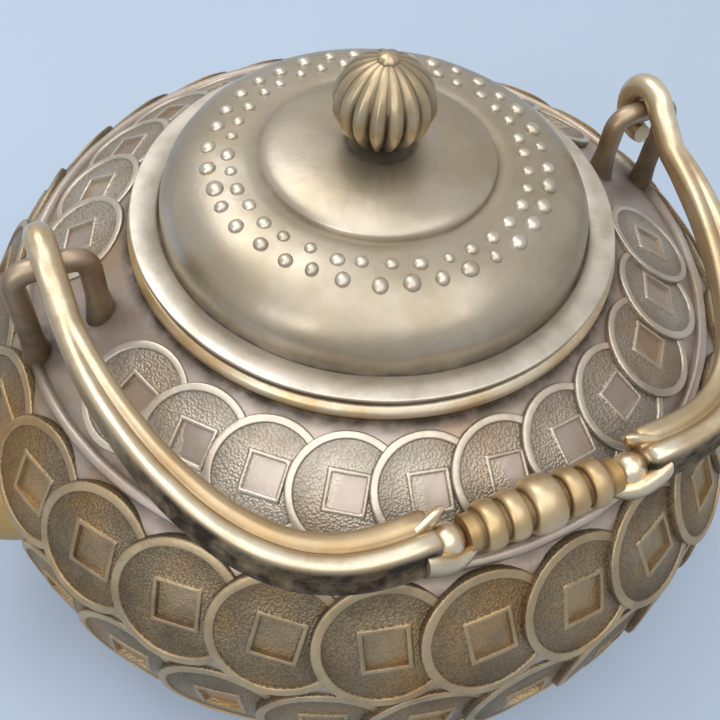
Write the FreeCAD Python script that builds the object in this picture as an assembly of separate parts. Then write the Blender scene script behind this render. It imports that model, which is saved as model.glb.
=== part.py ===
import FreeCAD, Part
import math
import os
from FreeCAD import Vector

os.makedirs("parts", exist_ok=True)

# Squat cast pot with a swinging bail handle and rows of overlapping coins.
# Millimetres, Z up, the table at Z 0, the pot's axis on Z.
# The spout points to -X, the bail turns on the X direction and lies to -Y.

# Body, from the table up
foot_height = 4.0
foot_radius = 52.0
foot_draft = 1.0
low_band_height = 31.0
brow_height = 52.5
belly_radius = 81.5
shoulder_edge_height = 69.4
shoulder_edge_radius = 71.0
collar_foot = 82.6
collar_radius = 46.8
mouth_radius = 40.0
wall = 2.6
floor_thickness = 2.0
under_round = 46.0
round_sides = 60
inside_sides = 40

# Collar round the mouth, and the cord round the shoulder
collar_height = 3.4
collar_bevel = 1.2
ridge_radius = 67.6
ridge_width = 1.2
ridge_rise = 1.3

# Coins: every coin lies flat, with its leading edge on the wall behind it
coin_sides = 10
coin_seat = 0.03
shoulder_coins = 26
shoulder_coin_radius = 10.2
shoulder_coin_along = 0.42
shoulder_coin_thick = 0.7
shoulder_coin_ahead = 9.5
shoulder_coin_turn = 200.2
belly_coins = 27
belly_coin_radius = 12.4
belly_coin_along = 0.5
belly_coin_thick = 1.0
belly_coin_ahead = 8.75
belly_coin_turn = 195.0
low_coins = 27
low_coin_along = 0.7
low_coin_turn = 201.6
low_coin_ahead = 7.4
coin_rim_share = 0.15
coin_hole_share = 0.31
coin_rim_rise = 0.45

# Spout
spout_root_height = 36.0
spout_root_radius = 18.0
spout_tip_reach = 114.0
spout_tip_height = 82.0
spout_tip_radius = 6.5
spout_wall = 2.2
pour_hole_radius = 8.0
spout_root_sink = 12.0
spout_bend_out = 16.0
spout_bend_drop = 2.0
spout_neck_height = 30.0
spout_taper = 0.8
spout_sides = 14
spout_sections = 7
coin_spout_gap = 0.6
coin_ear_gap = 0.2

# Lid
lid_radius = 46.0
lid_flange = 2.0
lid_flange_bevel = 0.5
lid_wall = 2.2
dome_radius = 40.4
dome_top_radius = 23.0
dome_rise = 11.6
dome_fullness = 0.842
dome_bands = 5
sleeve_depth = 8.0
sleeve_wall = 2.2
sleeve_clearance = 0.4
boss_radius = 21.6
boss_edge = 0.8
boss_rise = 3.0
boss_top_radius = 7.0
boss_bands = 4
bead_count = 36
bead_sides = 5
bead_rise_share = 0.8
bead_crown_share = 0.5
inner_bead_ring = 27.0
inner_bead_radius = 1.05
outer_bead_ring = 30.6
outer_bead_radius = 1.25
knob_radius = 9.1
knob_height = 16.6
knob_neck_radius = 5.8
knob_ribs = 16
knob_groove = 1.1
knob_levels = 8
knob_wrap = 0.92
knob_fullness = 0.75
button_radius = 2.1
button_height = 1.3

# Ears and bail
hinge_reach = 60.5
hinge_height = 93.2
bar_radius = 2.2
bar_length = 6.6
ear_bend = 3.2
ear_rod_radius = 2.1
hook_clearance = 0.3
arm_radius = 2.5
arm_sides = 8
arm_end_radius = 3.3
hook_start = 50.0
hook_sweep = 250.0
hook_steps = 10
arm_steps = 9
bail_reach = 66.5
bail_dip = 10.8
arm_end = 20.0
arm_side_bow = 0.72
arm_front_bow = 1.15
grip_half = 14.0
grip_radius = 3.1
middle_ring_radius = 4.9
middle_ring_width = 5.6
side_ring_radius = 4.2
side_ring_width = 3.4
ring_gap = 0.9
ring_shoulder = 0.3
turned_sides = 12
pearl_radius = 3.0
pearl_flat = 1.5
jaw_radius = 1.3
jaw_gap = 0.1
jaw_sides = 6


def corners_at(centre, across, upward, sides, radius, turn=0.0):
    """Corners of a polygon on a circle, or on a list of radii."""
    radii = radius if isinstance(radius, list) else [radius] * sides
    corners = []
    for k in range(sides):
        angle = turn + 2 * math.pi * k / sides
        corners.append(centre + across * (radii[k] * math.cos(angle)) + upward * (radii[k] * math.sin(angle)))
    return corners


def flat_face(corners):
    return Part.Face(Part.makePolygon(corners + corners[:1]))


def skin(rings, twisted):
    """Solid of flat faces through rings of corners. Twisted sides are split into triangles."""
    faces = [flat_face(rings[0]), flat_face(rings[-1])]
    for a, b in zip(rings, rings[1:]):
        for k in range(len(a)):
            n = (k + 1) % len(a)
            if twisted:
                faces.append(flat_face([a[k], a[n], b[n]]))
                faces.append(flat_face([a[k], b[n], b[k]]))
            else:
                faces.append(flat_face([a[k], a[n], b[n], b[k]]))
    shell = Part.Shell(faces)
    shell.sewShape()
    solid = Part.Solid(shell)
    if solid.Volume < 0:
        solid.reverse()
    return solid


def turning(line, sides):
    """Turned solid about Z from an open outline of (radius, height) points, in narrow flat facets."""
    return skin([
        corners_at(Vector(0, 0, z), Vector(1, 0, 0), Vector(0, 1, 0), sides, r) for r, z in line
    ], False)


def between(a, b, share):
    return (a[0] + (b[0] - a[0]) * share, a[1] + (b[1] - a[1]) * share)


def save(shape, name):
    if shape.ShapeType != "Compound" and len(shape.Solids) == 1:
        shape = shape.Solids[0]
    shape.exportStep("parts/" + name + ".step")
    return shape


# Outline of the pot's outer wall: collar foot, shoulder edge, brow, low band, foot
collar_corner = (collar_radius, collar_foot)
shoulder_edge = (shoulder_edge_radius, shoulder_edge_height)
brow_corner = (belly_radius, brow_height)
low_corner = (belly_radius, low_band_height)
foot_corner = (foot_radius, foot_height)


def arc_points(a, b, bulge_radius, count):
    """Points of an arc from a to b that bulges outward, without its first point."""
    middle = between(a, b, 0.5)
    half = math.dist(a, b) / 2
    inward = ((b[1] - a[1]) / (2 * half), -(b[0] - a[0]) / (2 * half))
    rise = math.sqrt(bulge_radius ** 2 - half ** 2)
    hub = (middle[0] + inward[0] * rise, middle[1] + inward[1] * rise)
    first = math.atan2(a[1] - hub[1], a[0] - hub[0])
    last = math.atan2(b[1] - hub[1], b[0] - hub[0])
    points = []
    for k in range(1, count + 1):
        angle = first + (last - first) * k / count
        points.append((hub[0] + bulge_radius * math.cos(angle), hub[1] + bulge_radius * math.sin(angle)))
    return points


under_wall = arc_points(low_corner, foot_corner, under_round, 4)
outer_line = [collar_corner, shoulder_edge, brow_corner, low_corner] + under_wall
envelope = turning(outer_line, round_sides)
collar_top = collar_foot + collar_height
inner_line = [
    (mouth_radius, collar_foot - wall),
    (shoulder_edge_radius - wall, shoulder_edge_height - wall),
    (belly_radius - wall, brow_height - wall / 2),
    (belly_radius - wall, low_band_height),
    (foot_radius - wall, foot_height + floor_thickness),
]
cavity = turning(inner_line, inside_sides)
mouth = turning([(mouth_radius, collar_foot - wall), (mouth_radius, collar_top + wall)], inside_sides)
pour_hole = Part.makeCylinder(
    pour_hole_radius, 4 * wall, Vector(-belly_radius - wall, 0, spout_root_height), Vector(1, 0, 0))
body_shell = save(envelope.cut(cavity).cut(mouth).cut(pour_hole), "body_shell")

foot = save(turning([(foot_radius - foot_draft, 0), (foot_radius, foot_height)], round_sides), "foot")
mouth_collar = save(turning([
    (collar_radius, collar_foot),
    (collar_radius, collar_top - collar_bevel),
    (collar_radius - 2 * collar_bevel, collar_top),
], round_sides).cut(mouth), "mouth_collar")

# The cord lies on the shoulder's slope, just above its edge
shoulder_length = math.dist(collar_corner, shoulder_edge)
shoulder_slope = ((shoulder_edge[0] - collar_corner[0]) / shoulder_length,
                  (shoulder_edge[1] - collar_corner[1]) / shoulder_length)
ridge_along = (ridge_radius - collar_radius) / shoulder_slope[0]


def on_shoulder(along, rise):
    """Point at a distance down the shoulder's slope and at a height above it."""
    return (collar_radius + shoulder_slope[0] * along - shoulder_slope[1] * rise,
            collar_foot + shoulder_slope[1] * along + shoulder_slope[0] * rise)


shoulder_ridge = save(turning([
    on_shoulder(ridge_along - ridge_width, 0),
    on_shoulder(ridge_along - ridge_width / 2, ridge_rise),
    on_shoulder(ridge_along + ridge_width / 2, ridge_rise),
    on_shoulder(ridge_along + ridge_width, 0),
], round_sides).cut(envelope), "shoulder_ridge")


def coin(radius, thick, sunk):
    """One coin on the XY plane: a square hole and, where it shows, a field sunk inside a raised rim."""
    x_axis = Vector(1, 0, 0)
    y_axis = Vector(0, 1, 0)
    field = thick - coin_rim_rise
    disc = flat_face(corners_at(Vector(0, 0, 0), x_axis, y_axis, coin_sides, radius))
    disc = disc.extrude(Vector(0, 0, thick))
    inner = radius * (1 - coin_rim_share)
    well = skin([
        corners_at(Vector(0, 0, field), x_axis, y_axis, coin_sides, inner),
        corners_at(Vector(0, 0, thick), x_axis, y_axis, coin_sides, radius),
    ], False)
    hole_side = radius * coin_hole_share * 2
    hole = Part.makeBox(hole_side, hole_side, 3 * thick, Vector(-hole_side / 2, -hole_side / 2, -thick))
    if sunk:
        disc = disc.cut(well)
    return disc.cut(hole)


def coin_row(template, count, upper, lower, along, ahead, first_turn):
    """Coins round a cone: each is tangent ahead of its middle, so it overlaps the one before."""
    seat = between(upper, lower, along)
    slope = math.atan2(upper[1] - lower[1], lower[0] - upper[0])
    coins = []
    for k in range(count):
        one = template.copy()
        one.translate(Vector(0, -ahead, coin_seat))
        one.rotate(Vector(0, 0, 0), Vector(0, 1, 0), math.degrees(slope))
        one.translate(Vector(seat[0], 0, seat[1]))
        turn = first_turn + 360.0 * k / count + math.degrees(ahead / seat[0])
        one.rotate(Vector(0, 0, 0), Vector(0, 0, 1), turn)
        coins.append(one)
    return coins


# Spout: a curved taper from the belly to a lip near the rim's height
def spout_point(t):
    start = (belly_radius - spout_root_sink, spout_root_height)
    bend_a = (belly_radius + spout_bend_out, spout_root_height - spout_bend_drop)
    bend_b = (spout_tip_reach - spout_bend_out, spout_tip_height - spout_neck_height)
    stop = (spout_tip_reach, spout_tip_height)
    u = 1 - t
    shares = (u ** 3, 3 * u * u * t, 3 * u * t * t, t ** 3)
    points = (start, bend_a, bend_b, stop)
    return (sum(s * p[0] for s, p in zip(shares, points)), sum(s * p[1] for s, p in zip(shares, points)))


def spout_skin(inset, reach):
    rings = []
    for k in range(spout_sections + 1):
        t = k / spout_sections
        here = spout_point(t)
        near = spout_point(max(0.0, t - 0.02))
        far = spout_point(min(1.0, t + 0.02))
        run = Vector(-(far[0] - near[0]), 0, far[1] - near[1]).normalize()
        upward = Vector(0, 1, 0).cross(run) * -1
        taper = math.sin(t * math.pi / 2) ** spout_taper
        radius = spout_root_radius + (spout_tip_radius - spout_root_radius) * taper
        centre = Vector(-here[0], 0, here[1]) + run * (reach * (t - 0.5))
        rings.append(corners_at(centre, Vector(0, 1, 0), upward, spout_sides, radius - inset))
    return skin(rings, True)


spout_outer = spout_skin(0.0, 0.0)
spout = spout_outer.cut(spout_skin(spout_wall, 1.0)).cut(envelope)
spout = save(max(spout.Solids, key=lambda s: s.Volume), "spout")


def clear_of_spout(coins):
    return [c for c in coins if c.distToShape(spout_outer)[0] > coin_spout_gap]


small_coin = coin(shoulder_coin_radius, shoulder_coin_thick, True)
large_coin = coin(belly_coin_radius, belly_coin_thick, True)
plain_coin = coin(belly_coin_radius, belly_coin_thick, False)
coins_shoulder = coin_row(small_coin, shoulder_coins, collar_corner, shoulder_edge,
                          shoulder_coin_along, shoulder_coin_ahead, shoulder_coin_turn)
coins_belly = coin_row(large_coin, belly_coins, shoulder_edge, brow_corner,
                       belly_coin_along, belly_coin_ahead, belly_coin_turn)
coins_low = coin_row(plain_coin, low_coins, brow_corner, low_corner,
                     low_coin_along, low_coin_ahead, low_coin_turn)

# Ears: an arch in the plane of the spout, with a straight round bar for the hook
arch_half = bar_length / 2 + ear_bend


def ear(side):
    bar_start = Vector(side * hinge_reach - bar_length / 2, 0, hinge_height)
    parts = [Part.makeCylinder(bar_radius, bar_length, bar_start, Vector(1, 0, 0))]
    sideways = Vector(0, 1, 0)
    for end in (-1, 1):
        bend_x = side * hinge_reach + end * bar_length / 2
        bend_z = hinge_height - ear_bend
        rings = []
        for degrees in (0, 30, 60, 90):
            angle = math.radians(degrees)
            outward = Vector(end * math.sin(angle), 0, math.cos(angle))
            centre = Vector(bend_x, 0, bend_z) + outward * ear_bend
            rings.append(corners_at(centre, sideways, outward, arm_sides, ear_rod_radius))
        leg_foot = Vector(bend_x + end * ear_bend, 0, shoulder_edge_height - wall)
        rings.append(corners_at(leg_foot, sideways, Vector(end, 0, 0), arm_sides, ear_rod_radius))
        parts.append(skin(rings, True))
    arch = parts[0].fuse(parts[1:])
    arch = arch.cut(envelope).cut(shoulder_ridge)
    return max(arch.Solids, key=lambda s: s.Volume)


ear_spout = save(ear(-1), "ear_spout")
ear_back = save(ear(1), "ear_back")


def clear_of_ears(coins):
    return [c for c in coins if min(c.distToShape(e)[0] for e in (ear_spout, ear_back)) > coin_ear_gap]


save(Part.makeCompound(clear_of_ears(coins_shoulder)), "coins_shoulder")
save(Part.makeCompound(clear_of_spout(clear_of_ears(coins_belly))), "coins_belly")
save(Part.makeCompound(clear_of_spout(coins_low)), "coins_low")

# Lid: flange on the collar, a hollow dome, and a sleeve that drops into the mouth
flange_top = collar_top + lid_flange
dome_foot = (dome_radius, flange_top)
dome_top = (dome_top_radius, flange_top + dome_rise)


def dome_curve(share):
    """Outer line of the dome, an arc-like bulge between its foot and its flat top."""
    angle = share * math.pi / 2
    return (
        dome_top_radius + (dome_radius - dome_top_radius) * math.cos(angle) ** dome_fullness,
        flange_top + dome_rise * math.sin(angle) ** dome_fullness,
    )


dome_line = [dome_curve(k / dome_bands) for k in range(dome_bands + 1)]
sleeve_outer = mouth_radius - sleeve_clearance
sleeve_inner = sleeve_outer - sleeve_wall
dome_inside = turning([
    (sleeve_inner, collar_top),
    (sleeve_inner, flange_top),
    (dome_curve(0.6)[0] - lid_wall, dome_curve(0.6)[1] - lid_wall),
    (dome_top_radius - lid_wall, dome_top[1] - lid_wall),
], inside_sides)
flange = turning([
    (lid_radius - lid_flange_bevel, collar_top),
    (lid_radius, collar_top + lid_flange_bevel),
    (lid_radius, flange_top),
], round_sides)
lid_dome = save(flange.fuse(turning(dome_line, round_sides)).cut(dome_inside).removeSplitter(), "lid_dome")
sleeve_foot = collar_top - sleeve_depth
lid_sleeve = turning([(sleeve_outer, sleeve_foot), (sleeve_outer, collar_top)], inside_sides)
lid_sleeve = save(lid_sleeve.cut(
    turning([(sleeve_inner, sleeve_foot), (sleeve_inner, collar_top)], inside_sides)), "lid_sleeve")

boss_foot = dome_top[1]
boss_top = boss_foot + boss_rise


def boss_point(share):
    angle = share * math.pi / 2
    return (
        boss_top_radius + (boss_radius - boss_top_radius) * math.cos(angle),
        boss_foot + boss_edge + (boss_rise - boss_edge) * math.sin(angle),
    )


lid_boss = save(turning(
    [(boss_radius, boss_foot)] + [boss_point(k / boss_bands) for k in range(boss_bands + 1)],
    inside_sides), "lid_boss")


def dome_seat(radius):
    """Point on the dome's outer line at a radius, with the slope of the facet it lies on."""
    for a, b in zip(dome_line, dome_line[1:]):
        if b[0] <= radius <= a[0]:
            share = (a[0] - radius) / (a[0] - b[0])
            return between(a, b, share), math.atan2(b[1] - a[1], a[0] - b[0])
    return dome_top, 0.0


def bead_row(ring_radius, radius, shift):
    seat, slope = dome_seat(ring_radius)
    flat = (Vector(1, 0, 0), Vector(0, 1, 0), bead_sides)
    base = corners_at(Vector(0, 0, 0), *flat, radius)
    crown = corners_at(Vector(0, 0, radius * bead_rise_share), *flat, radius * bead_crown_share)
    one = skin([base, crown], False)
    one.translate(Vector(0, 0, coin_seat))
    one.rotate(Vector(0, 0, 0), Vector(0, 1, 0), math.degrees(slope))
    one.translate(Vector(seat[0], 0, seat[1]))
    beads = []
    for k in range(bead_count):
        bead = one.copy()
        bead.rotate(Vector(0, 0, 0), Vector(0, 0, 1), 360.0 * (k + shift) / bead_count)
        beads.append(bead)
    return Part.makeCompound(beads)


save(bead_row(inner_bead_ring, inner_bead_radius, 0.0), "lid_beads_inner")
save(bead_row(outer_bead_ring, outer_bead_radius, 0.5), "lid_beads_outer")

# Knob: a melon of pointed ribs on a narrow neck, with a small button on top
knob_rings = []
for level in range(knob_levels + 1):
    share = level / knob_levels
    around = (share - 0.5) * math.pi * knob_wrap
    lift = math.sin(around) / (2 * math.sin(knob_wrap * math.pi / 2)) + 0.5
    crest = button_radius + (knob_radius - button_radius) * math.cos(around) ** knob_fullness
    if level == 0:
        crest = knob_neck_radius
    valley = crest - knob_groove * crest / knob_radius
    radii = [crest if k % 2 == 0 else valley for k in range(2 * knob_ribs)]
    knob_rings.append(corners_at(Vector(0, 0, boss_top + knob_height * lift),
                                 Vector(1, 0, 0), Vector(0, 1, 0), 2 * knob_ribs, radii))
knob = save(skin(knob_rings, False), "knob")
knob_top = boss_top + knob_height
button_levels = [(0.0, 1.0), (0.5, 1.0), (1.0, 0.6)]
knob_button = save(skin([
    corners_at(Vector(0, 0, knob_top + button_height * lift), Vector(1, 0, 0), Vector(0, 1, 0),
               turned_sides, button_radius * share) for lift, share in button_levels
], False), "knob_button")

# Bail, drawn flat with its hinge on the X axis and its grip toward -Y, then dipped to rest
hook_radius = bar_radius + hook_clearance + arm_radius
grip_centre = Vector(0, -bail_reach, 0)
pearl_half = (arm_end - grip_half) / 2


def arm_line(share):
    """Middle line of one arm from its hook bend to its end, with the direction along it."""
    def place(s):
        angle = s * math.pi / 2
        start_y = -2 * hook_radius
        return Vector(
            arm_end + (hinge_reach - arm_end) * math.cos(angle) ** arm_side_bow,
            start_y - (start_y + bail_reach) * math.sin(angle) ** arm_front_bow, 0)
    run = place(min(1.0, share + 0.01)) - place(max(0.0, share - 0.01))
    return place(share), run.normalize()


def jaw(side):
    """One of the two lips at an arm's end that reach past the pearl."""
    clear = pearl_radius + jaw_radius + jaw_gap
    stations = [
        (arm_end + jaw_radius, arm_end_radius / 2, jaw_radius),
        (arm_end - pearl_half / 3, clear - jaw_radius / 3, jaw_radius),
        (arm_end - pearl_half, clear, jaw_radius * 0.9),
        (grip_half + pearl_half / 3, clear, jaw_radius * 0.5),
    ]
    rings = []
    for along, aside, radius in stations:
        centre = Vector(along, -bail_reach + side * aside, 0)
        rings.append(corners_at(centre, Vector(0, 1, 0), Vector(0, 0, 1), jaw_sides, radius))
    return skin(rings, True)


def arm(side):
    rings = []
    across = Vector(1, 0, 0)
    for k in range(hook_steps + 1):
        angle = math.radians(hook_start + hook_sweep * (1 - k / hook_steps))
        outward = Vector(0, -math.cos(angle), math.sin(angle))
        rings.append(corners_at(Vector(hinge_reach, 0, 0) + outward * hook_radius, across, outward,
                                arm_sides, arm_radius, math.pi / arm_sides))
    for k in range(arm_steps + 1):
        share = k / arm_steps
        centre, run = arm_line(share)
        radius = arm_radius + (arm_end_radius - arm_radius) * share
        sideways = run.cross(Vector(0, 0, 1)) * -1
        rings.append(corners_at(centre, sideways, Vector(0, 0, 1), arm_sides, radius, math.pi / arm_sides))
    shape = skin(rings, True).fuse([jaw(-1), jaw(1)])
    if side < 0:
        shape = shape.mirror(Vector(0, 0, 0), Vector(1, 0, 0))
    return shape


def turned(points, centre):
    """Many-sided turning along the bail's grip line, from (along, radius) points."""
    return skin([
        corners_at(centre + Vector(along, 0, 0), Vector(0, 1, 0), Vector(0, 0, 1), turned_sides, radius)
        for along, radius in points
    ], False)


def laid(shape):
    """Turn a piece of the flat bail to its resting dip and bring it to the hinge."""
    shape.rotate(Vector(0, 0, 0), Vector(1, 0, 0), bail_dip)
    shape.translate(Vector(0, 0, hinge_height))
    return shape


bail_arm_spout = save(laid(arm(-1)), "bail_arm_spout")
bail_arm_back = save(laid(arm(1)), "bail_arm_back")
pearls = []
for side in (-1, 1):
    pearls.append(laid(turned([
        (-pearl_half, pearl_flat), (-pearl_half / 2, pearl_radius * 0.9), (0, pearl_radius),
        (pearl_half / 2, pearl_radius * 0.9), (pearl_half, pearl_flat),
    ], grip_centre + Vector(side * (grip_half + pearl_half), 0, 0))))
save(Part.makeCompound(pearls), "bail_pearls")
grip_core = turned([(-grip_half, grip_radius), (grip_half, grip_radius)], grip_centre)


def grip_ring(middle, width, radius):
    """One rounded ring round the grip's core."""
    edge = grip_radius + ring_shoulder
    return turned([
        (middle - width / 2, edge), (middle - width / 4, radius),
        (middle + width / 4, radius), (middle + width / 2, edge),
    ], grip_centre).cut(grip_core)


rings = [grip_ring(0, middle_ring_width, middle_ring_radius)]
for place in (1, 2):
    middle = middle_ring_width / 2 + (place - 0.5) * side_ring_width + place * ring_gap
    for side in (-1, 1):
        rings.append(grip_ring(side * middle, side_ring_width, side_ring_radius))
rings = [laid(r) for r in rings]
save(Part.makeCompound(rings), "bail_grip_rings")
save(laid(grip_core), "bail_grip")
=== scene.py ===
import math
import random

import bmesh
import bpy
from mathutils import Matrix, Vector, noise


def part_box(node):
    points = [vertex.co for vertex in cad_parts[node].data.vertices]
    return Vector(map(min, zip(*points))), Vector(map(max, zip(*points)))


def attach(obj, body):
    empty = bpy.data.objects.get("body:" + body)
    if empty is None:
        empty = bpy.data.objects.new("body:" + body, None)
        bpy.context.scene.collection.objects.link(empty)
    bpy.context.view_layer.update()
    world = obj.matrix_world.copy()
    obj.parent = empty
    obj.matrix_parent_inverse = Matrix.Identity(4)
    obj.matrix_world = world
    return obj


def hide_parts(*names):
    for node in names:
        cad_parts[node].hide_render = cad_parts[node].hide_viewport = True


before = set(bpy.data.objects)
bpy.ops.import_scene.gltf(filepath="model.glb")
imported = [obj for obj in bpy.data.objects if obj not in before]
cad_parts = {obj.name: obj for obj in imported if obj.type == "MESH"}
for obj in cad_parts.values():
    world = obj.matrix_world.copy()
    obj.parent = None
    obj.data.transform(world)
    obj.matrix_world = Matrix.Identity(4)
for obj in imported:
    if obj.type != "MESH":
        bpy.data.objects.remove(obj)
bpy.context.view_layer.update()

random.seed(11)

mm = 0.001

# Share of a curve's length over which its direction is read
nudge = 0.01

# Heights and radii that the frame gives
collar_low, collar_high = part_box("mouth_collar")
lid_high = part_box("lid_dome")[1]
boss_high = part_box("lid_boss")[1]
knob_low, knob_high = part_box("knob")
button_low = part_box("knob_button")[0]
sleeve_low, sleeve_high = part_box("lid_sleeve")
foot_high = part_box("foot")[1]

collar_foot = collar_low[2]
collar_top = collar_high[2]
collar_radius = collar_high[0]
foot_top = foot_high[2]
foot_radius = foot_high[0]
lid_radius = lid_high[0]
dome_top = lid_high[2]
boss_radius = boss_high[0]
boss_top = boss_high[2]
knob_radius = knob_high[0]
knob_middle = (knob_low[2] + knob_high[2]) / 2
knob_half = (knob_high[2] - knob_low[2]) / 2
button_foot = button_low[2]
sleeve_radius = sleeve_high[0]

# Pot wall, from the foot up to the collar; a corner is (radius, height)
wall = 2.6 * mm
floor_thickness = 2 * mm
mouth_radius = 40 * mm
foot_corner = Vector((foot_radius, foot_top))
low_band = Vector((81.5 * mm, 31 * mm))
brow = Vector((81.5 * mm, 52.5 * mm))
shoulder_edge = Vector((71 * mm, 69.4 * mm))
collar_corner = Vector((collar_radius, collar_foot))
under_round = 46 * mm
low_band_round = 4 * mm
brow_round = 7 * mm
shoulder_edge_round = 0.9 * mm
shoulder_rings = 24
foot_taper = 1 * mm
foot_round = 0.7 * mm

# Collar: a foot that stands back, a swell and a lip that stands back again
collar_foot_back = 0.5 * mm
collar_foot_rise = 0.7 * mm
collar_swell_from = 1.1 * mm
collar_swell_to = 0.9 * mm
collar_lip_back = 1.0 * mm
collar_round = 0.4 * mm
collar_rubbed_from = 1.2 * mm
# How far the painted shadow along the collar's foot reaches
collar_foot_shade = 0.7 * mm
collar_inside = lid_radius - 0.6 * mm

# Cord on the shoulder; its section is in shares of its half width and its rise
cord_radius = 67.6 * mm
cord_width = 1.2 * mm
cord_rise = 1.3 * mm
cord_round = 0.3 * mm
cord_section = ((-1, -0.4), (-1, 0), (-0.75, 0.75), (-0.3, 1), (0.3, 1), (0.75, 0.75), (1, 0), (1, -0.4))

# Dark marks on the wall and how far they spread: painted shadow below the collar, dirt by the cord,
# darker round the ears
shoulder_from = 60 * mm
outer_ear_darkening = 7.5 * mm
inner_ear_darkening = 3.2 * mm
below_collar_shade = 1.4 * mm
cord_dirt = 2.4 * mm

# Coins; a share is of the coin's radius
coin_sides = 48
coin_rim_share = 0.13
coin_field_drop = 0.38 * mm
coin_field_bank = 0.25 * mm
coin_edge_round = 0.35 * mm
coin_rim_round = 0.15 * mm
coin_skirt = 0.7 * mm
coin_sink = 0.25 * mm
coin_twist = 0.14
most_coin_lift = 1.12
hole_share = 0.29
hole_frame_share = 0.08
hole_frame_rise = 0.32 * mm
hole_frame_bank = 0.18 * mm
hole_frame_crown = 0.4 * mm
hole_frame_inside = 0.25 * mm
hole_depth = 0.9 * mm
hole_taper = 0.96
hole_cuts = 11
ear_clear = math.radians(11)
spout_clear = math.radians(20)

# Spout
spout_start = Vector((-69.5 * mm, 0, 36 * mm))
spout_bends = (Vector((-97.5 * mm, 0, 34 * mm)), Vector((-98 * mm, 0, 52 * mm)))
spout_stop = Vector((-114 * mm, 0, 82 * mm))
spout_root_radius = 18 * mm
spout_tip_radius = 6.5 * mm
spout_taper = 0.8
spout_wall = 2.2 * mm
spout_lip_round = 0.6 * mm
bore_from = 0.1

# Ears: a round bar on two legs that widen toward the wall, as (height, widening)
hinge_reach = 60.5 * mm
hinge_height = 93.2 * mm
bar_length = 6.6 * mm
ear_bend = 3.2 * mm
ear_rod = 2.1 * mm
ear_half = bar_length / 2 + ear_bend
outer_leg = 20 * mm
inner_leg = 13 * mm
leg_swell = ((0, 1.5), (3.5 * mm, 1.2), (7 * mm, 1.0))
bar_rubbed = 1.5 * mm
leg_darkening = 9 * mm
leg_darkening_depth = 16 * mm

# Lid: seat, undercut below the flange, groove round the dome's foot, dome and boss
flange_top = collar_top + 2 * mm
lid_wall = 2.2 * mm
lid_seat = 8.5 * mm
undercut_depth = 2.4 * mm
undercut_top = collar_top + 1.1 * mm
flange_round = 0.3 * mm
groove_edge = 0.9 * mm
groove_middle = 0.35 * mm
groove_depth = 0.45 * mm
dome_radius = 40.4 * mm
dome_top_radius = 23 * mm
dome_power = 1.6 / 1.9
dome_rings = 24
boss_bed = 0.3 * mm
boss_bed_edge = 0.4 * mm
boss_sink = 0.6 * mm
boss_flat = 7 * mm
boss_power = 0.85
boss_rings = 16
knob_seat = 5.6 * mm
flange_rubbed_from = dome_radius + 0.8 * mm
flange_rubbed_above = flange_top - 0.5 * mm
groove_dirt = 0.45 * mm
boss_foot_dirt = 0.5 * mm
boss_rim_rubbed = 1.2 * mm
knob_dirt_radius = 6.0 * mm
knob_foot_dirt = 0.9 * mm

# Beads and knob
bead_count = 36
bead_wander = 0.35 * mm
ribs = 16
rib_crest = 0.06
rib_groove_width = 0.11
rib_groove_depth = 0.05
knob_body = 0.94
knob_narrowing = 0.10
knob_overlap = 0.3 * mm
button_radius = 2.1 * mm
button_rise = 0.62
button_petals = 8
petal_cut = 0.1
button_dirt = 0.3 * mm

# Bail, drawn flat with its hinge on X and its grip toward -Y
bail_reach = 66.5 * mm
bail_dip = math.radians(10.8)
hook_radius = 5.0 * mm
hook_from = math.radians(300)
hook_to = math.radians(50)
hook_rings = 30
arm_rod = 2.5 * mm
arm_end = 20 * mm
arm_side_power = 0.72
arm_front_power = 1.15
arm_rings = 48
arm_end_shift = 0.9 * mm
arm_widening = 1.4 * mm
arm_heightening = 1.5 * mm
arm_tip = ((0.5 * mm, 0.93), (0.9 * mm, 0.8), (1.1 * mm, 0.6))
strip_lean = 0.35
pearl_radius = 3.0 * mm
pearl_place = 17 * mm
grip_half = 14 * mm
grip_radius = 3.1 * mm
grip_dirt_reach = 12 * mm
ring_foot = grip_radius + 0.1 * mm
ring_sink = 0.3 * mm
ring_power = 0.7
ring_rubbed_from = 3.6 * mm
ring_rubbed_run = 0.8 * mm
ring_dirt = 0.4 * mm

# Rows of along, aside, width, height and lift in mm: the arm runs on below the pearl into the grip,
# and a thin fin stands up behind the pearl
pearl_bed = ((22, 2.3, 1.8, 3.6, 0.5), (20.5, 2.7, 1.9, 3.5, 0.4), (19, 3.1, 1.8, 3.1, 0),
             (17.5, 3.3, 1.7, 2.6, -0.6), (16, 3.2, 1.6, 2.2, -1.0), (14.5, 2.8, 1.5, 1.9, -1.1),
             (12.6, 2.2, 1.0, 1.3, -1.0))
pearl_fin = ((22, 2.4, 1.3, 3.2, 0.9), (20.2, 3.0, 1.3, 3.0, 1.5), (18.8, 3.5, 1.2, 2.5, 2.3),
             (17.5, 3.9, 1.0, 1.8, 3.1), (16.6, 4.1, 0.6, 0.9, 3.7))

# Rows of middle, width and radius in mm, along the grip
ring_sizes = ((0, 5.6, 4.9), (5.4, 3.4, 4.2), (-5.4, 3.4, 4.2), (9.7, 3.4, 4.2), (-9.7, 3.4, 4.2))


# Tools that shape a bmesh

def blank():
    """Empty bmesh that can note, for each point, a bright amount (rubbed, and painted highlight) and a
    dark amount (dirt, and painted shade).
    """
    bm = bmesh.new()
    # The wear layer holds rubbed metal and painted highlight; the grime layer holds dirt and painted
    # shade
    bm.verts.layers.float.new("wear_and_highlight")
    bm.verts.layers.float.new("grime_and_shade")
    return bm


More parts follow.
